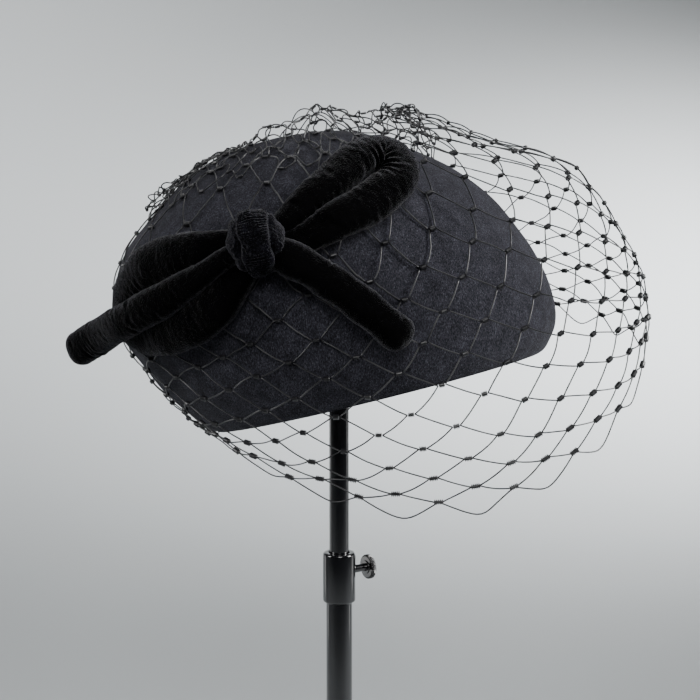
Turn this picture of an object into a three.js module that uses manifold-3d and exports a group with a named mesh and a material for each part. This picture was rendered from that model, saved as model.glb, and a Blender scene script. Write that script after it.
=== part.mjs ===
// Felt pillbox hat with a padded velvet bow and a birdcage veil, on a plain telescoping
// display stand. Millimetres, +Z up. The origin is the middle of the base's underside, and
// +X is the front of the hat. The hat has a frame of its own, tilted on the stand: x runs
// along the rim to the front, y across it to the far side, and z up from the rim plane.
import * as THREE from 'three';
import { mergeVertices } from 'three/addons/utils/BufferGeometryUtils.js';
import Module from 'manifold-3d';

const wasm = await Module();
wasm.setup();

// Clearances
const gap = 0.35;
const drape = 1.7;
const net_slack = 0.4;

// Felt crown
const crown_length = 212;
const crown_width = 160;
const crown_height = 133;
const felt = 2.2;

// How the hat sits: its rim's middle over the floor and ahead of the pole, its tilt up to
// the front and its lean away from the bow
const rim_height = 279.6;
const rim_ahead = 20;
const rim_tilt = 14.1;
const rim_lean = 4;

// Veil: how far its front stands ahead of the rim's middle, how far its hem hangs below the
// rim on the bow's side, the width and thickness of a bar, and its cells
const veil_reach = 140;
const veil_drop = 56;
const bar_width = 1.2;
const bar_thick = 0.8;
const veil_columns = 12;
const veil_rows = 10;

// Bow: the length that its tables are shares of, the padded tube of its tails, the wider
// tubes of its two loops, and the knot
const bow_length = 100;
const knot_ahead = -35;
const knot_up = 81;
const tail_width = 15.6;
const loop_width = 18.4;
const low_loop_width = 21;
const tube_thick = 12.5;
const knot_width = 25;
const knot_height = 28;
const knot_thick = 19;

// Stand
const base_diameter = 160;
const base_thick = 6;
const base_edge = 1.5;
const boss_diameter = 30;
const boss_height = 12;
const tube_wall = 1;
const lower_tube_diameter = 13.2;
const upper_tube_diameter = 10;
const upper_tube_overlap = 60;
const collar_diameter = 16.6;
const collar_height = 25.4;
const collar_middle = 184.3;
const collar_edge = 1;
const screw_above_middle = 2.6;
const screw_reach = 17.5;
const screw_turn = 33;
const stem_diameter = 4;
const head_diameter = 12.5;
const head_thick = 3.4;
const head_teeth = 22;
const tooth_depth = 0.5;
const pad_diameter = 48;
const pad_depth = 10;
const pad_socket = 5;

// The crown's level sections from rim to crest. rise is a share of the height, back and
// front of the length from the rim's middle, and half of half the width.
const crown_levels = [
  { level: 'rim', rise: 0, back: -0.394, front: 0.394, half: 0.875 },
  { level: 'turned edge', rise: 0.023, back: -0.415, front: 0.41, half: 0.913 },
  { level: 'above edge', rise: 0.09, back: -0.446, front: 0.438, half: 0.963 },
  { level: 'low wall', rise: 0.18, back: -0.486, front: 0.448, half: 0.988 },
  { level: 'belly', rise: 0.308, back: -0.524, front: 0.439, half: 1 },
  { level: 'back bulge', rise: 0.436, back: -0.552, front: 0.413, half: 0.981 },
  { level: 'high wall', rise: 0.602, back: -0.542, front: 0.363, half: 0.92 },
  { level: 'shoulder', rise: 0.737, back: -0.491, front: 0.292, half: 0.82 },
  { level: 'high shoulder', rise: 0.857, back: -0.392, front: 0.198, half: 0.67 },
  { level: 'top', rise: 0.94, back: -0.311, front: 0.118, half: 0.5 },
  { level: 'near crest', rise: 0.985, back: -0.231, front: 0.026, half: 0.31 },
  { level: 'crest', rise: 1, back: -0.113, front: -0.113, half: 0 },
];

// The veil's level rings from hem to gathers. up is the share of the net's depth, back a
// share of the crown's length, front of the veil's reach, near and far of half the crown's
// width. The heights are shares of the crown's height, or below the rim of the veil's drop.
// skew carries the ring lower at the near front and higher at the far front.
const veil_levels = [
  { up: 0, back: -0.406, front: 0.936, near: 1.14, far: 1.075,
    zback: 0, zfront: -0.17, znear: -1, zfar: 0.18, skew: 0.045 },
  { up: 0.22, back: -0.462, front: 0.993, near: 1.175, far: 1.15,
    zback: 0.105, zfront: 0.105, znear: -0.547, zfar: 0.338, skew: 0.038 },
  { up: 0.44, back: -0.528, front: 0.979, near: 1.075, far: 1.1,
    zback: 0.338, zfront: 0.316, znear: 0.06, zfar: 0.489, skew: 0.03 },
  { up: 0.67, back: -0.528, front: 0.857, near: 0.9, far: 1,
    zback: 0.639, zfront: 0.647, znear: 0.421, zfar: 0.692, skew: 0 },
  { up: 0.83, back: -0.377, front: 0.557, near: 0.6, far: 0.65,
    zback: 0.887, zfront: 0.835, znear: 0.812, zfar: 0.917, skew: 0 },
  { up: 1, back: -0.3, front: 0.34, near: 0.34, far: 0.4,
    zback: 1, zfront: 0.98, znear: 1, zfar: 1.06, skew: 0 },
];

// Routes of the bow's tubes, from the knot outward and, for a loop, back to it. ahead and up
// are shares of the bow's length from the knot, lift is the share of a tube's thickness that
// it stands clear of what it lies on, out the least share of half the crown's width that it
// keeps from the middle, and girth the share of its full section.
const front_loop_route = [
  { ahead: 0.05, up: 0.015, lift: 0.1, out: 0, girth: 0.5 },
  { ahead: 0.14, up: 0.06, lift: 0.05, out: 0, girth: 0.68 },
  { ahead: 0.3, up: 0.148, lift: 0, out: 0, girth: 0.88 },
  { ahead: 0.46, up: 0.233, lift: 0, out: 0, girth: 1 },
  { ahead: 0.57, up: 0.278, lift: 0.05, out: 0, girth: 1 },
  { ahead: 0.65, up: 0.27, lift: 0.1, out: 0, girth: 0.97 },
  { ahead: 0.69, up: 0.195, lift: 0.1, out: 0, girth: 0.96 },
  { ahead: 0.66, up: 0.122, lift: 0.1, out: 0, girth: 0.98 },
  { ahead: 0.55, up: 0.063, lift: 0.05, out: 0, girth: 1 },
  { ahead: 0.4, up: 0.016, lift: 0, out: 0, girth: 0.96 },
  { ahead: 0.22, up: -0.028, lift: 0, out: 0, girth: 0.74 },
  { ahead: 0.09, up: -0.035, lift: 0.05, out: 0, girth: 0.55 },
];
const back_loop_route = [
  { ahead: -0.06, up: 0.015, lift: 0.1, out: 0, girth: 0.45 },
  { ahead: -0.15, up: 0.033, lift: 0, out: 0, girth: 0.6 },
  { ahead: -0.27, up: 0.038, lift: 0, out: 0, girth: 0.82 },
  { ahead: -0.4, up: 0.04, lift: 0, out: 0, girth: 0.97 },
  { ahead: -0.52, up: 0.03, lift: 0, out: 0, girth: 0.96 },
  { ahead: -0.62, up: -0.015, lift: 0, out: 0, girth: 0.88 },
  { ahead: -0.685, up: -0.085, lift: 0, out: 0, girth: 0.8 },
  { ahead: -0.7, up: -0.155, lift: 0, out: 0, girth: 0.78 },
  { ahead: -0.675, up: -0.23, lift: 0, out: 0, girth: 0.82 },
  { ahead: -0.6, up: -0.275, lift: 0, out: 0, girth: 0.9 },
  { ahead: -0.49, up: -0.29, lift: 0, out: 0, girth: 0.96 },
  { ahead: -0.37, up: -0.275, lift: 0, out: 0, girth: 0.98 },
  { ahead: -0.255, up: -0.225, lift: 0, out: 0, girth: 0.94 },
  { ahead: -0.15, up: -0.15, lift: 0, out: 0, girth: 0.82 },
  { ahead: -0.06, up: -0.08, lift: 0.1, out: 0, girth: 0.6 },
];
const front_tail_route = [
  { ahead: 0.03, up: -0.05, lift: 0.1, out: 0, girth: 0.85 },
  { ahead: 0.1, up: -0.09, lift: 0.1, out: 0, girth: 1 },
  { ahead: 0.2, up: -0.183, lift: 0, out: 0, girth: 1 },
  { ahead: 0.315, up: -0.305, lift: 0, out: 0, girth: 1 },
  { ahead: 0.41, up: -0.425, lift: 0, out: 0, girth: 1 },
  { ahead: 0.5, up: -0.54, lift: 0, out: 0, girth: 1 },
];
const back_tail_route = [
  { ahead: -0.05, up: -0.01, lift: 0.4, out: 0, girth: 0.55 },
  { ahead: -0.16, up: -0.04, lift: 0.45, out: 0, girth: 0.62 },
  { ahead: -0.29, up: -0.088, lift: 0.5, out: 0, girth: 0.74 },
  { ahead: -0.44, up: -0.135, lift: 0.55, out: 0, girth: 0.94 },
  { ahead: -0.58, up: -0.165, lift: 0.7, out: 0, girth: 1 },
  { ahead: -0.7, up: -0.19, lift: 0.8, out: 0.72, girth: 1 },
  { ahead: -0.85, up: -0.222, lift: 0, out: 0.62, girth: 1.02 },
  { ahead: -0.955, up: -0.25, lift: 0, out: 0.55, girth: 1.02 },
];

// How finely the facets are cut
const crown_sides = 36;
const form_sides = 60;
const tube_sides = 8;
const tube_steps = 13;
const end_rings = 3;

const hat_frame = hatFrame();
const felt_colour = { color: 0x1b1b1d, roughness: 0.95, metalness: 0 };
const velvet_colour = { color: 0x08080b, roughness: 0.9, metalness: 0 };
const net_colour = { color: 0x141416, roughness: 0.45, metalness: 0 };
const metal_colour = { color: 0x16171a, roughness: 0.3, metalness: 0.6 };

// Curves through tables

// A row of numbers on the smooth curve through rows at place q, counted in rows.
function splineRow(rows, q, after) {
  const last = rows.length - 1;
  const k = Math.min(Math.max(Math.floor(q), 0), last - 1);
  const f = q - k;
  const beyond = (near, far) => near.map((value, c) => 2 * value - far[c]);
  const a = k > 0 ? rows[k - 1] : beyond(rows[0], rows[1]);
  const b = rows[k];
  const c = rows[k + 1];
  const d = k + 2 <= last ? rows[k + 2] : (after ?? beyond(rows[last], rows[last - 1]));
  return b.map((value, n) => 0.5 * (2 * value + (c[n] - a[n]) * f
    + (2 * a[n] - 5 * value + 4 * c[n] - d[n]) * f * f
    + (3 * value - 3 * c[n] + d[n] - a[n]) * f * f * f));
}

// Felt crown

const crown_rows = crown_levels.map((row) => [
  row.rise * crown_height,
  (row.front + row.back) / 2 * crown_length,
  (row.front - row.back) / 2 * crown_length,
  row.half * crown_width / 2,
]);
// Past the crest the rows come back down mirrored, so that the crest is round.
const past_crest = crown_rows.at(-2).map((value, n) => (n < 2 ? value : -value));

function crownPoint(angle, q) {
  const [rise, middle, half_length, half_width] = splineRow(crown_rows, q, past_crest);
  return new THREE.Vector3(
    middle + half_length * Math.cos(angle), half_width * Math.sin(angle), rise);
}

function crownNormal(angle, q) {
  const step = 0.01;
  const top = crown_rows.length - 1;
  if (q > top - step) {
    return new THREE.Vector3(0, 0, 1);
  }
  const round = crownPoint(angle + step, q).sub(crownPoint(angle - step, q));
  const rise = crownPoint(angle, q + step).sub(crownPoint(angle, Math.max(q - step, 0)));
  return round.cross(rise).normalize();
}

function crownSamples(around, levels) {
  const samples = [];
  const top = crown_rows.length - 1;
  for (let k = 0; k <= levels; k += 1) {
    for (let i = 0; i < around; i += 1) {
      const angle = 2 * Math.PI * i / around;
      const q = top * k / levels;
      samples.push({ point: crownPoint(angle, q), normal: crownNormal(angle, q) });
    }
  }
  return samples;
}

const crown_samples = crownSamples(120, 77);

function nearest(point, samples) {
  let best = null;
  let least = Infinity;
  for (const sample of samples) {
    const distance = sample.point.distanceToSquared(point);
    if (distance < least) {
      least = distance;
      best = sample;
    }
  }
  return { sample: best, distance: Math.sqrt(least) };
}

// The crown's outer surface as rings, moved inward by inset along its normals. The rim ring
// stays in the rim plane.
function crownRings(inset, around, places) {
  return places.map((q) => Array.from({ length: around }, (_, i) => {
    const angle = 2 * Math.PI * i / around;
    const point = crownPoint(angle, q).addScaledVector(crownNormal(angle, q), -inset);
    if (q === 0) {
      point.z = 0;
    }
    return point;
  }));
}

function crownPlaces() {
  const top = crown_rows.length - 1;
  const places = [0, 0.5];
  for (let q = 1; q < top; q += 1) {
    places.push(q);
  }
  places.push(top - 0.5);
  return places;
}

// Mesh building

class Body {
  constructor() {
    this.points = [];
    this.faces = [];
  }

  add(point) {
    this.points.push(point.x, point.y, point.z);
    return this.points.length / 3 - 1;
  }

  ring(points) {
    return points.map((point) => this.add(point));
  }

  quad(a, b, c, d) {
    this.faces.push(a, b, c, a, c, d);
  }

  triangle(a, b, c) {
    this.faces.push(a, b, c);
  }

  // Joins two closed rings of the same count. The face looks outward when the rings run
  // anticlockwise seen from the second ring's side.
  band(lower, upper) {
    lower.forEach((_, i) => {
      const next = (i + 1) % lower.length;
      this.quad(lower[i], lower[next], upper[next], upper[i]);
    });
  }

  fan(ring, tip) {
    ring.forEach((_, i) => this.triangle(ring[i], ring[(i + 1) % ring.length], tip));
  }

  geometry() {
    const geometry = new THREE.BufferGeometry();
    geometry.setAttribute('position', new THREE.Float32BufferAttribute(this.points, 3));
    geometry.setIndex(this.faces);
    return geometry;
  }
}

function toManifold(geometry) {
  const bare = geometry.clone();
  bare.deleteAttribute('normal');
  bare.deleteAttribute('uv');
  const merged = mergeVertices(bare, 1e-4);
  return new wasm.Manifold(new wasm.Mesh({
    numProp: 3,
    vertProperties: new Float32Array(merged.attributes.position.array),
    triVerts: new Uint32Array(merged.index.array),
  }));
}

function fromManifold(solid) {
  const mesh = solid.getMesh();
  const geometry = new THREE.BufferGeometry();
  geometry.setAttribute('position', new THREE.BufferAttribute(mesh.vertProperties, 3));
  geometry.setIndex(new THREE.BufferAttribute(mesh.triVerts, 1));
  return geometry;
}

function cut(geometry, ...tools) {
  return fromManifold(tools.reduce(
    (solid, tool) => solid.subtract(toManifold(tool)), toManifold(geometry)));
}

function join(...geometries) {
  return fromManifold(geometries.map(toManifold).reduce((all, solid) => all.add(solid)));
}

function crownShell() {
  const body = new Body();
  const outer = crownRings(0, crown_sides, crownPlaces()).map((ring) => body.ring(ring));
  const inner = crownRings(felt, crown_sides, crownPlaces()).map((ring) => body.ring(ring));
  const crest = crownPoint(0, crown_rows.length - 1);
  for (let k = 0; k + 1 < outer.length; k += 1) {
    body.band(outer[k], outer[k + 1]);
    body.band(inner[k + 1], inner[k]);
  }
  body.fan(outer.at(-1), body.add(crest));
  body.fan([...inner.at(-1)].reverse(), body.add(crest.clone().setZ(crest.z - felt)));
  body.band(inner[0], outer[0]);
  return body.geometry();
}

// The crown's outer form as one closed solid, moved inward by inset, for cutting.
function crownForm(inset) {
  const body = new Body();
  const rings = crownRings(inset, form_sides, crownPlaces()).map((ring) => body.ring(ring));
  const crest = crownPoint(0, crown_rows.length - 1);
  for (let k = 0; k + 1 < rings.length; k += 1) {
    body.band(rings[k], rings[k + 1]);
  }
  body.fan(rings.at(-1), body.add(crest.clone().setZ(crest.z - inset)));
  body.fan([...rings[0]].reverse(), body.add(new THREE.Vector3(0, 0, 0)));
  return body.geometry();
}

// Veil

function veilHeight(share) {
  return share * (share < 0 ? veil_drop : crown_height);
}

const veil_rings = veil_levels.map((row) => [
  row.back * crown_length,
  row.front * veil_reach,
  -row.near * crown_width / 2,
  row.far * crown_width / 2,
  veilHeight(row.zback),
  veilHeight(row.zfront),
  veilHeight(row.znear),
  veilHeight(row.zfar),
  row.skew * crown_height,
]);

// The net's middle surface at an angle round the hat and a share of the way up.
function veilPoint(angle, up) {
  let k = veil_levels.findIndex((row) => row.up > up) - 1;
  if (k < 0) {
    k = veil_levels.length - 2;
  }
  const low = veil_levels[k].up;
  const q = k + (up - low) / (veil_levels[k + 1].up - low);
  const [back, front, near, far, zback, zfront, znear, zfar, skew] = splineRow(veil_rings, q);
  const c = Math.cos(angle);
  const s = Math.sin(angle);
  const point = new THREE.Vector3(
    (back + front) / 2 + (front - back) / 2 * c,
    (near + far) / 2 + (far - near) / 2 * s,
    c * c * (c > 0 ? zfront : zback) + s * s * (s < 0 ? znear : zfar) + 2 * s * c * skew,
  );
  for (let pass = 0; pass < 3; pass += 1) {
    const { sample } = nearest(point, crown_samples);
    const height = point.clone().sub(sample.point).dot(sample.normal);
    point.addScaledVector(sample.normal, Math.max(drape + bar_thick / 2 - height, 0));
  }
  return point;
}

function veilNormal(angle, up) {
  const step = 0.02;
  const round = veilPoint(angle + step, up).sub(veilPoint(angle - step, up));
  const rise = veilPoint(angle, Math.min(up + step, 1));
  rise.sub(veilPoint(angle, Math.max(up - step, 0)));
  return round.cross(rise).normalize();
}

// The net: diamond cells round the hat, each a frame of four bars about its gap. A bar's
// middle is a point of the surface too, so that the bars follow the crown.
function veilNet() {
  const body = new Body();
  const known = new Map();
  const layers = (key, point, normal) => {
    if (!known.has(key)) {
      known.set(key, [0.5, -0.5].map((side) => body.add(
        point.clone().addScaledVector(normal, side * bar_thick))));
    }
    return known.get(key);
  };
  const half = veil_columns * 2;
  // A diamond's corners are drawn in further than its bars' middles.
  const corner_shift = bar_width * 0.75;
  const crossing = (i, j) => [Math.PI * i / veil_columns - Math.PI / 2, j / veil_rows];
  const edges = new Map();
  for (let j = 0; j + 2 <= veil_rows; j += 1) {
    for (let i = j % 2; i < half; i += 2) {
      const corners = [[i, j], [i + 1, j + 1], [i, j + 2], [i - 1, j + 1]];
      const centre = veilPoint(...crossing(i, j + 1));
      const loop = corners.flatMap(([ci, cj], n) => {
        const [ni, nj] = corners[(n + 1) % 4];
        return [[ci, cj], [(ci + ni) / 2, (cj + nj) / 2]];
      });
      const frame = loop.map(([ci, cj], n) => {
        const wrapped = (ci + half) % half;
        const point = veilPoint(...crossing(ci, cj));
        const normal = veilNormal(...crossing(ci, cj));
        const inward = centre.clone().sub(point);
        const shift = n % 2 === 0 ? corner_shift : bar_width / 2;
        const inner = point.clone().addScaledVector(inward.normalize(), shift);
        return {
          key: `${wrapped},${cj}`,
          outer: layers(`${wrapped},${cj}`, point, normal),
          inner: layers(`${i},${j},${n}`, inner, normal),
        };
      });
      frame.forEach((here, n) => {
        const next = frame[(n + 1) % frame.length];
        body.quad(here.outer[0], next.outer[0], next.inner[0], here.inner[0]);
        body.quad(here.inner[1], next.inner[1], next.outer[1], here.outer[1]);
        body.quad(here.inner[0], next.inner[0], next.inner[1], here.inner[1]);
        const twin = `${next.key}|${here.key}`;
        if (edges.has(twin)) {
          edges.delete(twin);
        } else {
          edges.set(`${here.key}|${next.key}`, [here.outer, next.outer]);
        }
      });
    }
  }
  for (const [here, next] of edges.values()) {
    body.quad(here[1], next[1], next[0], here[0]);
  }
  return body.geometry();
}

function veilSamples(around, levels) {
  const samples = [];
  for (let k = 0; k <= levels; k += 1) {
    for (let i = 0; i < around; i += 1) {
      samples.push({ point: veilPoint(2 * Math.PI * i / around, k / levels) });
    }
  }
  return samples;
}

const veil_samples = veilSamples(150, 60);

// Bow

// The depth at which a tube of the given half thickness lies on the hat, met along y from
// the bow's side, and the way out of the hat there.
function seat(x, z, half_thick, out) {
  const point = new THREE.Vector3(x, -crown_width, z);
  const veil_skin = bar_thick / 2 + gap + net_slack;
  for (let pass = 0; pass < 60; pass += 1) {
    const off_felt = nearest(point, crown_samples).distance - gap;
    const off_net = nearest(point, veil_samples).distance - veil_skin;
    const free = Math.min(off_felt, off_net) - half_thick;
    if (free < 0.02 || point.y > -out) {
      break;
    }
    point.y += free;
  }
  point.y = Math.min(point.y, -out);
  return point;
}

// A tube's stations along its route: middle, outward direction and section.
function routeStations(route, width, grow) {
  return route.map((row) => {
    const half_thick = tube_thick * row.girth / 2;
    const point = seat(
      knot_ahead + row.ahead * bow_length,
      knot_up + row.up * bow_length,
      half_thick + row.lift * tube_thick,
      row.out * crown_width / 2,
    );
    const outward = nearest(point, crown_samples).sample.normal.clone();
    return {
      point,
      outward,
      half_wide: width * row.girth / 2 + grow,
      half_thick: half_thick + grow,
    };
  });
}

// A padded tube swept along stations from share start to share end, with round ends.
function paddedTube(stations, start, end) {
  const rows = stations.map((station) => [
    ...station.point.toArray(), ...station.outward.toArray(),
    station.half_wide, station.half_thick,
  ]);
  const last = rows.length - 1;
  const at = (share) => splineRow(rows, Math.min(Math.max(share, 0), 1) * last);
  const body = new Body();
  const rings = [];
  const section = (share, scale, push) => {
    const row = at(share);
    const step = 0.01;
    const along = new THREE.Vector3(...at(share + step));
    along.sub(new THREE.Vector3(...at(share - step))).normalize();
    const outward = new THREE.Vector3(row[3], row[4], row[5]);
    outward.addScaledVector(along, -outward.dot(along)).normalize();
    const across = along.clone().cross(outward);
    const middle = new THREE.Vector3(row[0], row[1], row[2]);
    middle.addScaledVector(along, push * row[7]);
    return Array.from({ length: tube_sides }, (_, i) => {
      const angle = 2 * Math.PI * i / tube_sides;
      return middle.clone()
        .addScaledVector(across, -Math.cos(angle) * row[6] * scale)
        .addScaledVector(outward, Math.sin(angle) * row[7] * scale);
    });
  };
  for (let k = end_rings - 1; k > 0; k -= 1) {
    const turn = Math.PI / 2 * k / end_rings;
    rings.push(body.ring(section(start, Math.cos(turn), -Math.sin(turn))));
  }
  for (let k = 0; k <= tube_steps; k += 1) {
    rings.push(body.ring(section(start + (end - start) * k / tube_steps, 1, 0)));
  }
  for (let k = 1; k < end_rings; k += 1) {
    const turn = Math.PI / 2 * k / end_rings;
    rings.push(body.ring(section(end, Math.cos(turn), Math.sin(turn))));
  }
  for (let k = 0; k + 1 < rings.length; k += 1) {
    body.band(rings[k], rings[k + 1]);
  }
  body.fan(rings.at(-1), body.add(section(end, 0, 1)[0]));
  body.fan([...rings[0]].reverse(), body.add(section(start, 0, -1)[0]));
  return body.geometry();
}

// A loop is two tubes that run into each other at its turn.
function loopTube(route, width, grow) {
  const stations = routeStations(route, width, grow);
  const overlap = 0.02;
  return join(
    paddedTube(stations, 0, 0.5 + overlap),
    paddedTube(stations, 0.5 - overlap, 1),
  );
}

function tailTube(route, grow) {
  return paddedTube(routeStations(route, tail_width, grow), 0, 1);
}

// The knot: a wrapped lump with pleats running round it.
function knotForm(grow) {
  const pleats = 5;
  const pleat_depth = 0.035;
  const centre = seat(knot_ahead, knot_up, knot_thick / 2 * (1 + pleat_depth), 0);
  const geometry = new THREE.SphereGeometry(1, 20, 12);
  const corners = geometry.attributes.position;
  for (let n = 0; n < corners.count; n += 1) {
    const point = new THREE.Vector3().fromBufferAttribute(corners, n);
    const swell = 1 + pleat_depth * Math.cos(Math.PI * pleats * point.x);
    corners.setXYZ(
      n,
      centre.x + point.x * (knot_width / 2 + grow),
      centre.y + point.y * (knot_thick / 2 + grow) * swell,
      centre.z + point.z * (knot_height / 2 + grow) * swell,
    );
  }
  return geometry;
}

// Stand

function turned(profile, sides) {
  const geometry = new THREE.LatheGeometry(
    profile.map(([radius, height]) => new THREE.Vector2(radius, height)), sides);
  return geometry.rotateX(Math.PI / 2);
}

function pipe(outer, inner, bottom, top, sides) {
  return turned([
    [inner, bottom], [outer, bottom], [outer, top], [inner, top], [inner, bottom],
  ], sides);
}

function hatFrame() {
  const tilt = THREE.MathUtils.degToRad(rim_tilt);
  const lean = THREE.MathUtils.degToRad(rim_lean);
  const along = new THREE.Vector3(Math.cos(tilt), 0, Math.sin(tilt));
  const across = new THREE.Vector3(0, Math.cos(lean), -Math.sin(lean));
  across.addScaledVector(along, -across.dot(along)).normalize();
  const up = along.clone().cross(across);
  const frame = new THREE.Matrix4().makeBasis(along, across, up);
  return frame.setPosition(rim_ahead, 0, rim_height);
}

// Where the felt's inner face meets the pole's axis.
function ceilingHeight() {
  const to_hat = hat_frame.clone().invert();
  const point = new THREE.Vector3(0, 0, rim_height);
  for (let pass = 0; pass < 60; pass += 1) {
    const free = nearest(point.clone().applyMatrix4(to_hat), crown_samples).distance;
    if (free - felt - gap < 0.01) {
      break;
    }
    point.z += free - felt - gap;
  }
  return point.z;
}

const pad_bottom = ceilingHeight() - pad_depth;
const pole_top = pad_bottom + pad_socket - gap;
const collar_bottom = collar_middle - collar_height / 2;
const collar_top = collar_middle + collar_height / 2;
const lower_tube_top = collar_middle - gap;
const screw_height = collar_middle + screw_above_middle;

function baseDisc() {
  const radius = base_diameter / 2;
  const boss = boss_diameter / 2;
  const socket = lower_tube_diameter / 2 + gap;
  const top = base_thick + boss_height;
  return turned([
    [0, 0],
    [radius - base_edge, 0],
    [radius, base_edge],
    [radius, base_thick - base_edge],
    [radius - base_edge, base_thick],
    [boss, base_thick],
    [boss, top - base_edge],
    [boss - base_edge, top],
    [socket, top],
    [socket, base_thick],
    [0, base_thick],
  ], 32);
}

function collarSleeve() {
  const radius = collar_diameter / 2;
  const low_bore = lower_tube_diameter / 2 + gap;
  const high_bore = upper_tube_diameter / 2 + gap;
  const sleeve = turned([
    [low_bore, collar_bottom],
    [radius - collar_edge, collar_bottom],
    [radius, collar_bottom + collar_edge],
    [radius, collar_top - collar_edge],
    [radius - collar_edge, collar_top],
    [high_bore, collar_top],
    [high_bore, lower_tube_top + gap],
    [low_bore, lower_tube_top + gap],
    [low_bore, collar_bottom],
  ], 24);
  const hole = new THREE.CylinderGeometry(
    stem_diameter / 2 + gap, stem_diameter / 2 + gap, collar_diameter, 16);
  hole.rotateZ(Math.PI / 2).translate(collar_diameter / 2, 0, 0);
  hole.rotateZ(THREE.MathUtils.degToRad(screw_turn)).translate(0, 0, screw_height);
  return cut(sleeve, hole);
}

// The thumb screw lies along x, and is then turned round the pole.
function thumbScrew() {
  const tip = upper_tube_diameter / 2 + gap;
  const face = screw_reach - head_thick / 2;
  const stem = new THREE.CylinderGeometry(
    stem_diameter / 2, stem_diameter / 2, face - tip + 1, 16);
  stem.rotateZ(Math.PI / 2).translate((face + tip + 1) / 2, 0, 0);
  const outline = new THREE.Shape();
  for (let n = 0; n < head_teeth * 2; n += 1) {
    const radius = head_diameter / 2 - (n % 2) * tooth_depth;
    const angle = Math.PI * n / head_teeth;
    const to = [radius * Math.cos(angle), radius * Math.sin(angle)];
    if (n === 0) {
      outline.moveTo(...to);
    } else {
      outline.lineTo(...to);
    }
  }
  outline.closePath();
  const head = new THREE.ExtrudeGeometry(outline, { depth: head_thick, bevelEnabled: false });
  head.rotateY(Math.PI / 2).translate(face, 0, 0);
  const screw = join(stem, head);
  return screw.rotateZ(THREE.MathUtils.degToRad(screw_turn)).translate(0, 0, screw_height);
}

// The pad fills the top of the hat's hollow over the pole, so that the crown sits on it.
function supportPad() {
  const radius = pad_diameter / 2;
  const post = turned([
    [0, pad_bottom + pad_socket],
    [upper_tube_diameter / 2 + gap, pad_bottom + pad_socket],
    [upper_tube_diameter / 2 + gap, pad_bottom],
    [radius - base_edge, pad_bottom],
    [radius, pad_bottom + base_edge],
    [radius, pad_bottom + crown_height],
    [0, pad_bottom + crown_height],
  ], 24);
  const hollow = crownForm(felt + gap).applyMatrix4(hat_frame);
  return fromManifold(toManifold(post).intersect(toManifold(hollow)));
}

// Assembly

const group = new THREE.Group();
const hat = new THREE.Group();
hat.applyMatrix4(hat_frame);
group.add(hat);

function place(parent, name, geometry, finish) {
  const mesh = new THREE.Mesh(geometry, new THREE.MeshStandardMaterial(finish));
  mesh.name = name;
  parent.add(mesh);
}

const knot_room = knotForm(gap);
const front_tail = cut(tailTube(front_tail_route, 0), knot_room);
const back_tail = cut(tailTube(back_tail_route, 0), knot_room);
const front_tail_room = tailTube(front_tail_route, gap);
const back_tail_room = tailTube(back_tail_route, gap);
const front_loop_room = loopTube(front_loop_route, loop_width, gap);

place(hat, 'crown', crownShell(), felt_colour);
place(hat, 'veil', veilNet(), net_colour);
place(hat, 'bow_knot', knotForm(0), velvet_colour);
place(hat, 'bow_tail_front', front_tail, velvet_colour);
place(hat, 'bow_tail_back', back_tail, velvet_colour);
place(hat, 'bow_loop_front',
  cut(loopTube(front_loop_route, loop_width, 0), knot_room, front_tail_room, back_tail_room),
  velvet_colour);
place(hat, 'bow_loop_back',
  cut(loopTube(back_loop_route, low_loop_width, 0),
    knot_room, front_tail_room, back_tail_room, front_loop_room),
  velvet_colour);
place(group, 'support_pad', supportPad(), metal_colour);
place(group, 'upper_tube', pipe(
  upper_tube_diameter / 2, upper_tube_diameter / 2 - tube_wall,
  lower_tube_top - upper_tube_overlap, pole_top, 24), metal_colour);
place(group, 'collar', collarSleeve(), metal_colour);
place(group, 'thumb_screw', thumbScrew(), metal_colour);
place(group, 'lower_tube', pipe(
  lower_tube_diameter / 2, lower_tube_diameter / 2 - tube_wall,
  base_thick + gap, lower_tube_top, 24), metal_colour);
place(group, 'base', baseDisc(), metal_colour);

export default group;
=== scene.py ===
"""Felt pillbox hat with a padded velvet bow and a birdcage veil on a display stand.

The hat is worked out in millimetres in a frame of its own: x along the rim to the front, y
across it to the far side and z up from the rim plane. That frame is tilted on the stand, and
every mesh is put into the shared frame in metres as it is made.
"""

import logging
import math
from collections.abc import Sequence
from dataclasses import dataclass, field
from enum import Enum
from typing import NamedTuple

import bpy
import numpy as np
from bpy.types import NodeSocket as Socket
from bpy.types import NodeTree as Tree
from bpy.types import Object
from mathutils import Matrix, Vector
from numpy.typing import NDArray


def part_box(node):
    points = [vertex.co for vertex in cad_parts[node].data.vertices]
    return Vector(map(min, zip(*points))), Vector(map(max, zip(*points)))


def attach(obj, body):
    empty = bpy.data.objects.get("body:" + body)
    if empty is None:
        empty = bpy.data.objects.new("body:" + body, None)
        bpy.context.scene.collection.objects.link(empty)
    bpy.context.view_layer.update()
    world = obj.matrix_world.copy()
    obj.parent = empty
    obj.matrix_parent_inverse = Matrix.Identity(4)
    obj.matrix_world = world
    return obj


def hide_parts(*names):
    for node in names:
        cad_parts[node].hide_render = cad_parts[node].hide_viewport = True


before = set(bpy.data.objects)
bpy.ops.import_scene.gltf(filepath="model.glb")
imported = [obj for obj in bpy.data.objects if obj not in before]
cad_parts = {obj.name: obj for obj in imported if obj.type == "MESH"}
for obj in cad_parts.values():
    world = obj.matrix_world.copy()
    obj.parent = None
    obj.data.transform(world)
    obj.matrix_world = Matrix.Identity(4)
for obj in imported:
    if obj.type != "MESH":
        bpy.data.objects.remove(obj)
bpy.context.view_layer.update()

Array = NDArray[np.float64]
Numbers = NDArray[np.int64]
Triple = tuple[float, float, float]
MM = 0.001
BODY = "root"
LOG = logging.getLogger("hat")


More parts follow.
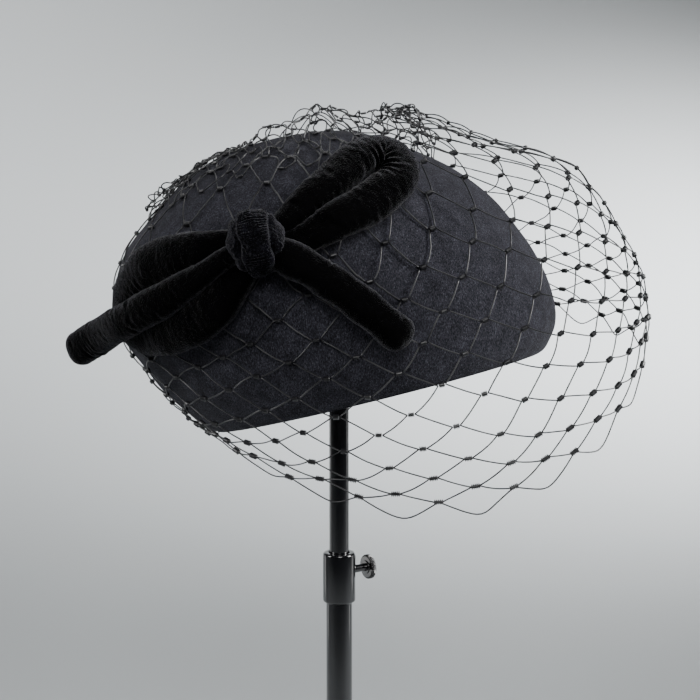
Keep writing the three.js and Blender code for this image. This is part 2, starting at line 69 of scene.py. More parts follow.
def table(kind: type, *rows: tuple[float, ...]) -> tuple:
    """A table with a row of the given kind for each tuple of its columns."""
    return tuple(kind(*row) for row in rows)


class Slot(Enum):
    """The material slots of the record."""

    FELT = "felt"
    VELVET = "velvet"
    NETTING = "netting"
    METAL = "black_metal"


def unit(vectors: Array) -> Array:
    """Scale vectors on the last axis to length one."""
    return vectors / np.maximum(np.linalg.norm(vectors, axis=-1, keepdims=True), 1e-9)


def smooth(values: Array, low: float, high: float) -> Array:
    """Rise smoothly from 0 at low to 1 at high, as 3t² - 2t³."""
    t = np.clip((values - low) / (high - low), 0.0, 1.0)
    return t * t * (3.0 - 2.0 * t)


def stack(*columns: Array) -> Array:
    """Columns that broadcast together, on a new last axis."""
    return np.stack(np.broadcast_arrays(*columns), axis=-1)


def circle(count: int) -> Array:
    """Angles evenly spaced once round."""
    return np.arange(count) * 2.0 * np.pi / count


def waves(points: Array, wavelength: float, seed: int, layers: int = 5) -> Array:
    """Smooth wandering values, a sum of plane sine waves in seeded directions.

    Args:
        points: Points or parameters on the last axis.
        wavelength: The mean distance between crests, in the units of points.
        seed: Chooses the directions and phases.
        layers: How many waves are summed.

    Returns:
        Values of about -1 to 1, one for each point.
    """
    rng = np.random.default_rng(seed)
    total = np.zeros(points.shape[:-1])
    for _ in range(layers):
        direction = unit(rng.normal(size=points.shape[-1]))
        turns = 2.0 * np.pi / (wavelength * rng.uniform(0.7, 1.4))
        total += np.sin(points @ direction * turns + rng.uniform(0.0, 2.0 * np.pi))
    return total / math.sqrt(layers * 0.5) * 0.6


def through(rows: Array, place: Array, after: Array | None = None) -> Array:
    """The smooth curve through rows, as a Catmull-Rom spline.

    Args:
        rows: One row of numbers for each section.
        place: Where on the curve, counted in rows.
        after: The row past the last one; straight on where it is left out.

    Returns:
        An array of the shape of place with one more axis for the columns.
    """
    last = len(rows) - 1
    beyond = 2.0 * rows[-1] - rows[-2] if after is None else after
    padded = np.vstack([2.0 * rows[0] - rows[1], rows, beyond])
    k = np.clip(np.floor(place).astype(int), 0, last - 1)
    f = (place - k)[..., None]
    a, b, c, d = padded[k], padded[k + 1], padded[k + 2], padded[k + 3]
    return 0.5 * (
        2.0 * b
        + (c - a) * f
        + (2.0 * a - 5.0 * b + 4.0 * c - d) * f**2
        + (3.0 * b - 3.0 * c + d - a) * f**3
    )


def make_mesh(name: str, points: Array, faces: list[Numbers], scale: float = MM) -> Object:
    """Make one smooth object, at the origin and unturned.

    Args:
        name: The object's name.
        points: Its points, one a row.
        faces: Arrays of corner numbers, each with one face a row.
        scale: What turns the points into metres.

    Returns:
        The new object.
    """
    sizes = np.concatenate([np.full(len(face), face.shape[1]) for face in faces])
    corners = np.concatenate([face.ravel() for face in faces])
    mesh = bpy.data.meshes.new(name)
    mesh.vertices.add(len(points))
    mesh.vertices.foreach_set("co", (points * scale).astype(np.float32).ravel())
    mesh.loops.add(len(corners))
    mesh.loops.foreach_set("vertex_index", corners.astype(np.int32))
    mesh.polygons.add(len(sizes))
    mesh.polygons.foreach_set("loop_start", (np.cumsum(sizes) - sizes).astype(np.int32))
    mesh.polygons.foreach_set("loop_total", sizes.astype(np.int32))
    mesh.update(calc_edges=True)
    mesh.validate()
    mesh.shade_smooth()
    made = bpy.data.objects.new(name, mesh)
    bpy.context.scene.collection.objects.link(made)
    return made


def capped(name: str, shapes: Sequence[Array]) -> Object:
    """Make one object of shapes that are rings of points, with a cap over each end.

    Args:
        name: The object's name.
        shapes: Each shape's rings, in order along it.

    Returns:
        The new object.
    """
    faces, count = [], 0
    for rings in shapes:
        rows, around = rings.shape[:2]
        first = np.arange(around)[None, ::-1]
        last = (rows - 1) * around + np.arange(around)[None]
        faces += [face + count for face in (grid_faces(rows, around, True, False), first, last)]
        count += rows * around
    return make_mesh(name, np.concatenate([rings.reshape(-1, 3) for rings in shapes]), faces)


def grid_faces(rows: int, around: int, round_it: bool, along_it: bool) -> Numbers:
    """Quads between neighbouring rows of a grid of points.

    Args:
        rows: How many rows.
        around: How many points a row has.
        round_it: Whether the last point of a row joins its first.
        along_it: Whether the last row joins the first.

    Returns:
        One quad a row, its corners running from a row towards the next.
    """
    row = np.arange(rows if along_it else rows - 1)[:, None]
    j = np.arange(around if round_it else around - 1)[None]
    i, next_i, next_j = row * around, (row + 1) % rows * around, (j + 1) % around
    return np.stack([i + j, i + next_j, next_i + next_j, next_i + j], axis=-1).reshape(-1, 4)


def tubes(paths: Array, outward: Array, radius: Array | float, sides: int) -> Array:
    """Round tubes carried along many paths of one length at once.

    Each ring is its path's point plus radius times cos and sin of the angle along the two
    directions square to the path.

    Args:
        paths: Paths by points by three.
        outward: A direction at each point that isn't along the path.
        radius: The tube's radius, one value or one for each point.
        sides: How many points a ring has.

    Returns:
        Paths by points by sides by three.
    """
    along = unit(np.gradient(paths, axis=1))
    across = unit(np.cross(along, outward))
    square = np.cross(across, along)
    size = np.broadcast_to(radius, paths.shape[:2])[..., None, None]
    angle = circle(sides)[:, None]
    ring = np.cos(angle) * across[:, :, None] + np.sin(angle) * square[:, :, None]
    return paths[:, :, None] + size * ring


@dataclass(frozen=True)
class HatFrame:
    """How the hat sits in the shared frame: its rim's middle, its tilt and its lean."""

    rim_height: float = 279.6
    rim_ahead: float = 20.0
    rim_tilt: float = 14.1
    rim_lean: float = 4.0

    def axes(self) -> Array:
        """The hat's three directions in the shared frame.

        Returns:
            Along, across and up, one a row.
        """
        tilt, lean = math.radians(self.rim_tilt), math.radians(self.rim_lean)
        along = np.array([math.cos(tilt), 0.0, math.sin(tilt)])
        across = np.array([0.0, math.cos(lean), -math.sin(lean)])
        across = unit(across - (across @ along) * along)
        return np.stack([along, across, np.cross(along, across)])

    def world(self, points: Array) -> Array:
        """Turn points of the hat into the shared frame, in millimetres."""
        return points @ self.axes() + np.array([self.rim_ahead, 0.0, self.rim_height])


class CrownLevel(NamedTuple):
    """A level section of the crown, as shares of its height, length and half width."""

    rise: float
    back: float
    front: float
    half: float


CROWN_LEVELS = table(
    CrownLevel,
    (0.0, -0.394, 0.394, 0.875),
    (0.023, -0.415, 0.41, 0.913),
    (0.09, -0.446, 0.438, 0.963),
    (0.18, -0.486, 0.448, 0.988),
    (0.308, -0.524, 0.439, 1.0),
    (0.436, -0.552, 0.413, 0.981),
    (0.602, -0.542, 0.363, 0.92),
    (0.737, -0.491, 0.292, 0.82),
    (0.857, -0.392, 0.198, 0.67),
    (0.94, -0.311, 0.118, 0.5),
    (0.985, -0.231, 0.026, 0.31),
    (1.0, -0.113, -0.113, 0.0),
)


@dataclass
class Crown:
    """The felt crown: ellipse sections carried up a table of levels."""

    length: float = 212.0
    width: float = 160.0
    height: float = 133.0
    felt: float = 2.2
    levels: tuple[CrownLevel, ...] = CROWN_LEVELS
    around: int = 300
    inner_rows: int = 60
    edge_rows: int = 7
    outer_rows: int = 190
    crest_hole: float = 0.04
    rows: Array = field(init=False)
    near_points: Array = field(init=False)
    near_normals: Array = field(init=False)

    def __post_init__(self) -> None:
        """Work out the rows in millimetres and the samples that distances are taken to."""
        rise, back, front, half = np.array(self.levels).T
        middle, half_length = (front + back) / 2.0, (front - back) / 2.0
        self.rows = stack(
            rise * self.height, middle * self.length, half_length * self.length,
            half * self.width / 2.0)
        angle, place = np.meshgrid(circle(120), np.linspace(0.0, self.top, 78), indexing="ij")
        self.near_points = self.point(angle, place).reshape(-1, 3)
        self.near_normals = self.normal(angle, place).reshape(-1, 3)

    @property
    def top(self) -> float:
        """The crest's place, counted in levels."""
        return float(len(self.levels) - 1)

    def point(self, angle: Array, place: Array) -> Array:
        """A point of the outer face: an ellipse at the level that place names.

        Args:
            angle: The angle round the ellipse, 0 at the front.
            place: The place up the crown, counted in levels.

        Returns:
            Points in the hat's frame, in millimetres.
        """
        crest = self.rows[-2] * np.array([1.0, 1.0, -1.0, -1.0])
        rise, middle, half_length, half_width = np.moveaxis(
            through(self.rows, place, crest), -1, 0)
        return stack(middle + half_length * np.cos(angle), half_width * np.sin(angle), rise)

    def normal(self, angle: Array, place: Array) -> Array:
        """The way out of the outer face, from differences round it and up it.

        Args:
            angle: The angle round the ellipse.
            place: The place up the crown, counted in levels.

        Returns:
            Directions of length one.
        """
        step = 0.01
        round_it = self.point(angle + step, place) - self.point(angle - step, place)
        above = self.point(angle, np.minimum(place + step, self.top))
        below = self.point(angle, np.maximum(place - step, 0.0))
        out = unit(np.cross(round_it, above - below))
        return np.where((place > self.top - step)[..., None], [0.0, 0.0, 1.0], out)

    def nearest(self, points: Array) -> tuple[Array, Array, Array]:
        """Find the crown's nearest sample to each point.

        Args:
            points: Points in the hat's frame.

        Returns:
            The distance, the height along the sample's normal, and the normal.
        """
        found = nearest_index(points.reshape(-1, 3), self.near_points)
        normals = self.near_normals[found].reshape(points.shape)
        offset = points - self.near_points[found].reshape(points.shape)
        return np.linalg.norm(offset, axis=-1), np.sum(offset * normals, axis=-1), normals

    def clear_of(self, points: Array, height: float | Array, passes: int = 3) -> Array:
        """Push points out until they stand that height off the felt.

        Args:
            points: Points in the hat's frame.
            height: The least height over the felt.
            passes: How often the push is repeated.

        Returns:
            The pushed points.
        """
        for _ in range(passes):
            _, over, normals = self.nearest(points)
            points = points + np.maximum(height - over, 0.0)[..., None] * normals
        return points

    def build(self, seat: HatFrame) -> Object:
        """Make the felt shell: inner face, rounded cut edge and outer face in one skin.

        The profile runs from the inner crest down to the rim, round the edge as a half
        circle of the felt's thickness, and up the outer face. Slow waves of a fraction of
        a millimetre keep the felt from looking turned.

        Args:
            seat: Where the hat sits.

        Returns:
            The crown's object.
        """
        inside, rim, outside = self.inner_rows, self.edge_rows, self.outer_rows
        top = self.top - self.crest_hole
        edge = np.linspace(-np.pi / 2.0, np.pi / 2.0, rim + 2)[1:-1]
        places = np.concatenate([
            np.linspace(top, 0.0, inside), np.zeros(rim), np.linspace(0.0, top, outside)])
        insets = np.concatenate([
            np.full(inside, self.felt), self.felt * (0.5 - 0.5 * np.sin(edge)),
            np.zeros(outside)])
        drops = np.concatenate([
            np.zeros(inside), self.felt * 0.5 * np.cos(edge), np.zeros(outside)])
        turn, place = np.meshgrid(circle(self.around), places)
        points = self.point(turn, place)
        normals = self.normal(turn, place)
        soft = waves(points, 60.0, 3) * 0.35 + waves(points, 23.0, 5) * 0.12
        points = points + normals * (soft - insets[:, None])[..., None]
        low = self.felt * 0.5
        points[..., 2] = np.maximum(points[..., 2], low * smooth(place, 0.5, 0.0))
        points[..., 2] -= drops[:, None]
        return capped("felt_crown", [seat.world(points)])


def nearest_index(points: Array, samples: Array, chunk: int = 600) -> Numbers:
    """The number of the nearest sample to each point, a chunk of points at a time."""
    squares = np.sum(samples**2, axis=1)
    return np.concatenate([
        np.argmin(squares - 2.0 * points[i : i + chunk] @ samples.T, axis=1)
        for i in range(0, len(points), chunk)
    ])


class VeilLevel(NamedTuple):
    """A level ring of the veil, as shares of the hat's sizes. Past 1 it is turned back.

    back is a share of the crown's length, front of the veil's reach, near and far of half
    the crown's width. The heights are shares of the crown's height, or below the rim of the
    veil's drop. skew carries the ring lower at the near front and higher at the far front.
    """

    up: float
    back: float
    front: float
    near: float
    far: float
    zback: float
    zfront: float
    znear: float
    zfar: float
    skew: float


VEIL_LEVELS = table(
    VeilLevel,
    (0.0, -0.406, 0.936, 1.14, 1.075, 0.0, -0.17, -1.0, 0.18, 0.045),
    (0.22, -0.462, 0.993, 1.175, 1.15, 0.105, 0.105, -0.547, 0.338, 0.038),
    (0.44, -0.528, 0.979, 1.075, 1.1, 0.338, 0.316, 0.06, 0.489, 0.03),
    (0.67, -0.528, 0.857, 0.9, 1.0, 0.639, 0.647, 0.421, 0.692, 0.0),
    (0.83, -0.377, 0.557, 0.6, 0.65, 0.887, 0.835, 0.812, 0.917, 0.0),
    (1.0, -0.3, 0.34, 0.34, 0.4, 0.96, 0.98, 1.0, 1.06, 0.0),
    (1.08, -0.33, 0.36, 0.43, 0.47, 0.95, 1.0, 1.0, 1.05, 0.0),
    (1.16, -0.37, 0.38, 0.54, 0.56, 0.91, 0.93, 0.93, 0.98, 0.0),
    (1.3, -0.42, 0.4, 0.7, 0.68, 0.84, 0.8, 0.8, 0.86, 0.0),
)


@dataclass
class Veil:
    """The net: diamond cells round the hat, tied with whipped knots."""

    crown: Crown
    reach: float = 140.0
    drop: float = 56.0
    drape: float = 1.1
    columns: int = 21
    half_rows: int = 20
    turned_rows: int = 6
    lean: float = 0.3
    hem_share: float = 0.4
    strand: float = 0.33
    knot_half: float = 2.1
    top_knot_half: float = 1.35
    knot_radius: float = 1.35
    knot_entry: float = 0.8
    wraps: int = 5
    stray: float = 0.8
    crumple: float = 5.0
    slack: float = 0.35
    top_slack: float = 1.6
    turned_slack: float = 1.4
    levels: tuple[VeilLevel, ...] = VEIL_LEVELS
    rows: Array = field(init=False)
    ups: Array = field(init=False)

    def __post_init__(self) -> None:
        """Work out the rings in millimetres."""
        half_width, length = self.crown.width / 2.0, self.crown.length
        self.ups, back, front, near, far, *heights, skew = np.array(self.levels).T
        heights = [np.where(z < 0.0, z * self.drop, z * self.crown.height) for z in heights]
        self.rows = stack(
            back * length, front * self.reach, -near * half_width, far * half_width, *heights,
            skew * self.crown.height)

    def surface(self, angle: Array, up: Array) -> Array:
        """The net's middle surface, before it is pushed off the felt.

        A ring is an oval through its four reaches, and its height blends the four heights
        by the squares of the cosine and sine.

        Args:
            angle: The angle round the hat, 0 at the front.
            up: The share of the net's depth, from the hem.

        Returns:
            Points in the hat's frame.
        """
        place = np.interp(up, self.ups, np.arange(len(self.ups)))
        back, front, near, far, zback, zfront, znear, zfar, skew = np.moveaxis(
            through(self.rows, place), -1, 0)
        c, s = np.cos(angle), np.sin(angle)
        x = (back + front) / 2.0 + (front - back) / 2.0 * c
        y = (near + far) / 2.0 + (far - near) / 2.0 * s
        ends = c * c * np.where(c > 0.0, zfront, zback)
        sides = s * s * np.where(s < 0.0, znear, zfar)
        return stack(x, y, ends + sides + 2.0 * s * c * skew)

    def point(self, angle: Array, up: Array) -> Array:
        """The net's surface, pushed off the felt."""
        return self.crown.clear_of(self.surface(angle, up), self.drape)

    def crossing(self, i: Array, j: Array) -> tuple[Array, Array]:
        """The angle and share up of a crossing.

        The columns stand square to the hem, which climbs to the front and to the back, so
        they lean back from both as they rise, by lean times the cosine of the angle.

        Args:
            i: The place round, counted in half columns.
            j: The place up, counted in half rows.

        Returns:
            The angle, and the share of the net's depth.
        """
        up = (j + self.hem_share) / (self.half_rows + self.hem_share + 0.2)
        angle = np.pi * (i + 0.5) / self.columns - np.pi / 2.0
        return angle - self.lean * np.cos(angle - 0.3) * smooth(up, 0.0, 0.8), up

    def net_points(self, i: Array, j: Array) -> Array:
        """Places of the net by column and row, with the unevenness of a real net.

        Args:
            i: The place round, counted in half columns.
            j: The place up, counted in half rows.

        Returns:
            Points in the hat's frame.
        """
        angle, up = np.broadcast_arrays(*self.crossing(i, j))
        points = self.surface(angle, up)
        where = stack(np.cos(angle) * 110.0, np.sin(angle) * 110.0, up * 180.0)
        stray = stack(*(waves(where, 46.0 - 6.0 * k, 11 + k) for k in range(3)))
        crumple = stack(*(waves(where, 75.0, 21 + k) for k in range(3)))
        loose = smooth(up, 0.78, 1.02)[..., None]
        points = points + stray * self.stray + crumple * (self.crumple * loose)
        return self.crown.clear_of(points, self.drape)

    def strands(self) -> tuple[Array, Array]:
        """The strands between knots, as paths and outward directions.

        A strand leaves the end of one knot and enters the end of the next, and bows a
        little to one side and off the surface.

        Returns:
            Paths by points by three, twice.
        """
        rng = np.random.default_rng(7)
        i, j = self.crossings(self.half_rows + self.turned_rows - 1)
        sides = np.repeat([1.0, -1.0], len(i))
        i, j = np.tile(i, 2), np.tile(j, 2)
        share = np.linspace(0.0, 1.0, 9)
        paths = self.net_points(i[:, None] + sides[:, None] * share, j[:, None] + share)
        entry = sides[:, None] * self.knot_half * self.knot_entry
        leave = (self.hem_direction(i, j) * entry)[:, None]
        enter = (self.hem_direction(i + sides, j + 1.0) * entry)[:, None]
        share = share[None, :, None]
        paths = paths + leave * (1.0 - share) ** 2 - enter * share**2
        out = self.crown.nearest(paths)[2]
        side = unit(np.cross(unit(np.gradient(paths, axis=1)), out))
        rise = j / self.half_rows
        free = (
            self.slack
            + self.top_slack * smooth(rise, 0.7, 1.0)
            + self.turned_slack * smooth(rise, 1.0, 1.2)
        )
        bow = np.sin(np.pi * share) * free[:, None, None]
        paths = paths + side * bow * rng.normal(0.0, 0.7, (len(i), 1, 1))
        paths = paths + out * bow * rng.uniform(0.0, 0.9, (len(i), 1, 1))
        return paths, out

    def crossings(self, rows: int) -> tuple[Array, Array]:
        """The columns and rows of the knots, which tie every other crossing.

        Args:
            rows: How many half rows are tied.

        Returns:
            The column and the row of each knot.
        """
        j, i = np.meshgrid(np.arange(1, rows + 1), np.arange(2 * self.columns), indexing="ij")
        tied = (i + j) % 2 == 0
        return i[tied].astype(float), j[tied].astype(float)

    def hem_direction(self, i: Array, j: Array) -> Array:
        """The direction round the hem at a crossing."""
        step = 0.1
        return unit(self.net_points(i + step, j) - self.net_points(i - step, j))

    def hem(self) -> tuple[Array, Array]:
        """The rounded loops of the hem, which dip between its knots.

        Returns:
            Their paths and outward directions.
        """
        middle = np.arange(0, 2 * self.columns, 2).astype(float)[:, None]
        share = np.linspace(-1.0, 1.0, 17)[None]
        soft = 0.3
        rise = (np.sqrt(share**2 + soft**2) - soft) / (math.sqrt(1.0 + soft**2) - soft)
        rise = rise * (1.0 + self.hem_share) - self.hem_share
        paths = self.net_points(middle + share, rise)
        return paths, self.crown.nearest(paths)[2]

    def knots(self) -> Array:
        """The whipped knots: barrels along the hem's direction, ridged by their wraps.

        Returns:
            Knots by rings by sides by three.
        """
        i, j = self.crossings(self.half_rows + self.turned_rows)
        rise = j / self.half_rows
        share = np.linspace(-1.0, 1.0, 2 * self.wraps + 1)
        half = self.knot_half + (self.top_knot_half - self.knot_half) * smooth(rise, 0.05, 0.35)
        along = self.hem_direction(i, j)[:, None]
        path = self.net_points(i, j)[:, None] + along * (share * half[:, None])[..., None]
        ridge = np.where(np.arange(len(share)) % 2 == 1, 1.0, 0.42)
        taper = np.where(np.abs(share) > 0.99, 0.6, 1.0)
        radius = self.knot_radius * (1.0 - 0.4 * smooth(rise, 0.75, 0.95))
        return tubes(path, self.crown.nearest(path)[2], radius[:, None] * ridge * taper, 6)

    def build(self, seat: HatFrame) -> list[Object]:
        """Make the strands and the knots.

        Args:
            seat: Where the hat sits.

        Returns:
            The net and its knots.
        """
        strands = [
            tube
            for paths, out in (self.strands(), self.hem())
            for tube in tubes(seat.world(paths), out @ seat.axes(), self.strand, 5)
        ]
        net = capped("net_strands", strands)
        return [net, capped("net_knots", seat.world(self.knots()))]


class RouteRow(NamedTuple):
    """A station of a bow tube, as shares of the bow's length and the tube's section.

    ahead and up are from the knot, lift is the share of the tube's thickness that it stands
    clear of what it lies on, girth the share of its full section, and out the least share
    of half the crown's width that it keeps from the middle.
    """

    ahead: float
    up: float
    lift: float
    girth: float
    out: float = 0.0


FRONT_LOOP = table(
    RouteRow,
    (0.05, 0.015, 0.1, 0.5),
    (0.14, 0.06, 0.05, 0.68),
    (0.3, 0.148, 0.0, 0.88),
    (0.46, 0.233, 0.0, 1.0),
    (0.57, 0.278, 0.05, 1.0),
    (0.65, 0.27, 0.1, 0.97),
    (0.69, 0.195, 0.1, 0.96),
    (0.66, 0.122, 0.1, 0.98),
    (0.55, 0.063, 0.05, 1.0),
    (0.4, 0.016, 0.0, 0.96),
    (0.22, -0.028, 0.0, 0.74),
    (0.09, -0.035, 0.05, 0.55),
)
BACK_LOOP = table(
    RouteRow,
    (-0.06, 0.015, 0.1, 0.45),
    (-0.15, 0.033, 0.0, 0.6),
    (-0.27, 0.038, 0.0, 0.82),
    (-0.4, 0.04, 0.0, 0.97),
    (-0.52, 0.03, 0.0, 0.96),
    (-0.62, -0.015, 0.0, 0.88),
    (-0.685, -0.085, 0.0, 0.8),
    (-0.7, -0.155, 0.0, 0.78),
    (-0.675, -0.23, 0.0, 0.82),
    (-0.6, -0.275, 0.0, 0.9),
    (-0.49, -0.29, 0.0, 0.96),
    (-0.37, -0.275, 0.0, 0.98),
    (-0.255, -0.225, 0.0, 0.94),
    (-0.15, -0.15, 0.0, 0.82),
    (-0.06, -0.08, 0.1, 0.6),
)
FRONT_TAIL = table(
    RouteRow,
    (0.03, -0.05, 0.1, 0.85),
    (0.1, -0.09, 0.1, 1.0),
    (0.2, -0.183, 0.0, 1.0),
    (0.315, -0.305, 0.0, 1.0),
    (0.41, -0.425, 0.0, 1.0),
    (0.5, -0.54, 0.0, 1.0),
)
BACK_TAIL = table(
    RouteRow,
    (-0.05, -0.01, 0.4, 0.55),
    (-0.16, -0.04, 0.45, 0.62),
    (-0.29, -0.088, 0.5, 0.74),
    (-0.44, -0.135, 0.55, 0.94),
    (-0.58, -0.165, 0.7, 1.0),
    (-0.7, -0.19, 0.8, 1.0, 0.72),
    (-0.85, -0.222, 0.0, 1.02, 0.62),
    (-0.955, -0.25, 0.0, 1.02, 0.55),
)


@dataclass
class Bow:
    """The padded velvet bow: two loops, two tails and the knot."""

    crown: Crown
    veil: Veil
    length: float = 100.0
    knot_ahead: float = -35.0
    knot_up: float = 81.0
    tail_width: float = 16.2
    loop_width: float = 19.0
    low_loop_width: float = 21.0
    tube_thick: float = 12.5
    knot_width: float = 25.0
    knot_height: float = 28.0
    knot_thick: float = 19.0
    ribs: int = 66
    skin: float = 0.9
    pleat: float = 4.2
    pleat_depth: float = 7.3
    steps: int = 300
    sides: int = 96
    cap_steps: int = 13
    squareness: float = 2.4
    knot_squareness: float = 2.3
    band_edge: float = 0.56
    rib_height: float = 0.24
    gap: float = 0.35
    touch: float = 0.02
    net_samples: Array = field(init=False)

    def __post_init__(self) -> None:
        """Sample the net's surface, which the tubes lie on."""
        angle, up = np.meshgrid(circle(150), np.linspace(0.0, 1.0, 61), indexing="ij")
        self.net_samples = self.veil.point(angle, up).reshape(-1, 3)

    def seat_at(self, x: float, z: float, half_thick: float, out: float) -> Array:
        """Where a tube of that half thickness lies on the hat, met along y.

        The point steps inward by its free distance from the felt and the net until it
        touches, or until it is as far in as out allows.

        Args:
            x: The place along the hat.
            z: The height over the rim.
            half_thick: Half the tube's thickness.
            out: The least distance from the hat's middle.

        Returns:
            The tube's middle.
        """
        point = np.array([x, -self.crown.width, z])
        for _ in range(60):
            felt = float(self.crown.nearest(point[None])[0][0]) - self.gap
            net = float(np.min(np.linalg.norm(self.net_samples - point, axis=1))) - self.skin
            free = min(felt, net) - half_thick
            if free < self.touch or point[1] > -out:
                break
            point[1] += free
        point[1] = min(point[1], -out)
        return point

    def stations(self, route: tuple[RouteRow, ...], width: float) -> Array:
        """A tube's stations: middle, outward direction, half width and half thickness.

        Args:
            route: The tube's route.
            width: Its full width.

        Returns:
            One row of eight numbers for each station.
        """
        rows = []
        for row in route:
            half_thick = self.tube_thick * row.girth / 2.0
            middle = self.seat_at(
                self.knot_ahead + row.ahead * self.length,
                self.knot_up + row.up * self.length,
                half_thick + row.lift * self.tube_thick,
                row.out * self.crown.width / 2.0,
            )
            outward = self.crown.nearest(middle[None])[2][0]
            rows.append([*middle, *outward, width * row.girth / 2.0, half_thick])
        return np.array(rows)

    def tube(
        self, route: tuple[RouteRow, ...], width: float, crush: float, seed: int
    ) -> Array:
        """A padded tube carried along its route, with round ends and folds.

        Its section is an oval, squared a little at the sides. Where its route turns, the
        inner side gathers in pleats that run across it: the radius falls there by the
        curvature, the share of the way round to the inner side and a wave along the route.
        Fine crushed wrinkles and slow lumps are added all over.

        Args:
            route: The tube's route.
            width: Its full width.
            crush: The height of the fine wrinkles, in millimetres, which the pleats follow.
            seed: Chooses the wrinkles.

        Returns:
            Rings of points.
        """
        rows = self.stations(route, width)
        cap = self.cap_steps
        ends = np.linspace(0.0, np.pi / 2.0, cap + 1)[1:]
        share = np.concatenate([np.zeros(cap), np.linspace(0.0, 1.0, self.steps), np.ones(cap)])
        push = np.concatenate([-np.sin(ends[::-1]), np.zeros(self.steps), np.sin(ends)])
        scale = np.concatenate([np.cos(ends[::-1]), np.ones(self.steps), np.cos(ends)])
        scale = np.maximum(scale, 0.02)[:, None]
        last = len(rows) - 1
        row = through(rows, share * last)
        step = 0.01
        ahead = through(rows, np.minimum(share + step, 1.0) * last)[:, :3]
        behind = through(rows, np.maximum(share - step, 0.0) * last)[:, :3]
        along = unit(ahead - behind)
        outward = row[:, 3:6]
        outward = unit(outward - np.sum(outward * along, axis=1, keepdims=True) * along)
        across = np.cross(along, outward)
        half_wide, half_thick = row[:, 6:7], row[:, 7:8]
        middle = row[:, :3] + along * push[:, None] * half_thick
        angle, power = circle(self.sides)[None], self.squareness
        c, s = np.cos(angle), np.sin(angle)
        bulge = (np.abs(c) ** power + np.abs(s) ** power) ** (-1.0 / power)
        length = np.cumsum(np.linalg.norm(np.gradient(row[:, :3], axis=0), axis=1))[:, None]
        place = stack(length, 7.0 * c, 7.0 * s)
        apart = np.maximum(np.linalg.norm(ahead - behind, axis=1, keepdims=True), 1e-6)
        bend = ahead + behind - 2.0 * row[:, :3]
        turn = -np.sum(bend * across, axis=1, keepdims=True) * 4.0 / apart**2
        turn = np.where((push == 0.0)[:, None], np.clip(turn * half_wide, -1.0, 1.0), 0.0)
        inner = np.clip(turn * c, 0.0, 1.0)
        wander = waves(place, 13.0, seed + 3) * 1.6
        pleats = 0.5 + 0.5 * np.cos(length * 2.0 * np.pi / self.pleat + wander)
        fine = waves(place * [1.0, 0.45, 0.45], 2.6, seed, 7) * waves(place, 11.0, seed + 1)
        slow = waves(place, 17.0, seed + 2)
        fold = crush * fine * (1.0 + 1.5 * inner) + 0.4 * slow
        fold = fold - self.pleat_depth * crush * inner * pleats
        ring_c = (c * bulge * (half_wide + fold) * scale)[..., None]
        ring_s = (s * bulge * (half_thick + fold) * scale)[..., None]
        return middle[:, None] - across[:, None] * ring_c + outward[:, None] * ring_s

    def knot(self) -> Array:
        """The knot: a soft lump with a gathered band wrapped round its middle.

        It starts as a rounded block. The band stands out over the middle and is pulled in
        at its edges. Ribs a millimetre apart run across the band, as waves in the angle
        round it, and the lumps at its sides and top come from slow waves.

        Returns:
            Rings of points, from one side to the other.
        """
        centre = self.seat_at(self.knot_ahead, self.knot_up, self.knot_thick / 2.0 * 1.035, 0.0)
        polar = np.linspace(0.0, np.pi, 131)[1:-1, None]
        angle = circle(420)[None]
        x = np.cos(polar)
        y = np.sin(polar) * np.cos(angle)
        z = np.sin(polar) * np.sin(angle)
        power = self.knot_squareness
        block = (np.abs(x) ** power + np.abs(y) ** power + np.abs(z) ** power) ** (-1.0 / power)
        base = stack(x, y, z) * block[..., None]
        half = np.array([self.knot_width, self.knot_thick, self.knot_height]) / 2.0
        points = base * half
        edge = x + 0.06 * np.sin(2.0 * angle + 0.7)
        band = smooth(np.abs(edge), self.band_edge, self.band_edge - 0.12)
        pinch = np.exp(-(((np.abs(edge) - self.band_edge) / 0.09) ** 2))
        ribs = np.sin(angle * self.ribs + 1.5 * waves(points, 9.0, 35))
        patches = smooth(waves(points, 8.0, 36), -0.5, 0.5)
        swell = 0.7 * band - 0.9 * pinch + self.rib_height * band * ribs * patches
        swell += 0.25 * waves(points, 2.4, 31, 7) * waves(points, 7.0, 32)
        swell += 0.75 * waves(points, 10.0, 33)
        points = points + unit(base) * swell[..., None]
        return points + centre

    def build(self, seat: HatFrame) -> dict[str, Object]:
        """Make the knot, the tails and the loops.

        Args:
            seat: Where the hat sits.

        Returns:
            The pieces by the names of the nodes that they replace.
        """
        rings = {
            "knot": self.knot(),
            "tail_front": self.tube(FRONT_TAIL, self.tail_width, 0.22, 41),
            "tail_back": self.tube(BACK_TAIL, self.tail_width, 0.22, 51),
            "loop_front": self.tube(FRONT_LOOP, self.loop_width, 0.3, 61),
            "loop_back": self.tube(BACK_LOOP, self.low_loop_width, 0.16, 71),
        }
        return {
            f"bow_{name}": capped(f"velvet_{name}", [seat.world(points)])
            for name, points in rings.items()
        }


def rounded(corners: list[Triple], steps: int = 6) -> Array:
    """A profile with its corners rounded by quadratic curves.

    Args:
        corners: Radius, height and rounding of each corner.
        steps: How many points a rounded corner has.

    Returns:
        The profile's points.
    """
    points = []
    for n, (radius, height, soft) in enumerate(corners):
        here = np.array([radius, height])
        if soft <= 0.0:
            points.append(here[None])
            continue
        before = unit(np.array(corners[n - 1][:2]) - here)
        after = unit(np.array(corners[n + 1][:2]) - here)
        t = np.linspace(0.0, 1.0, steps)[:, None]
        start, end = here + before * soft, here + after * soft
        points.append((1 - t) ** 2 * start + 2 * t * (1 - t) * here + t**2 * end)
    return np.concatenate(points)


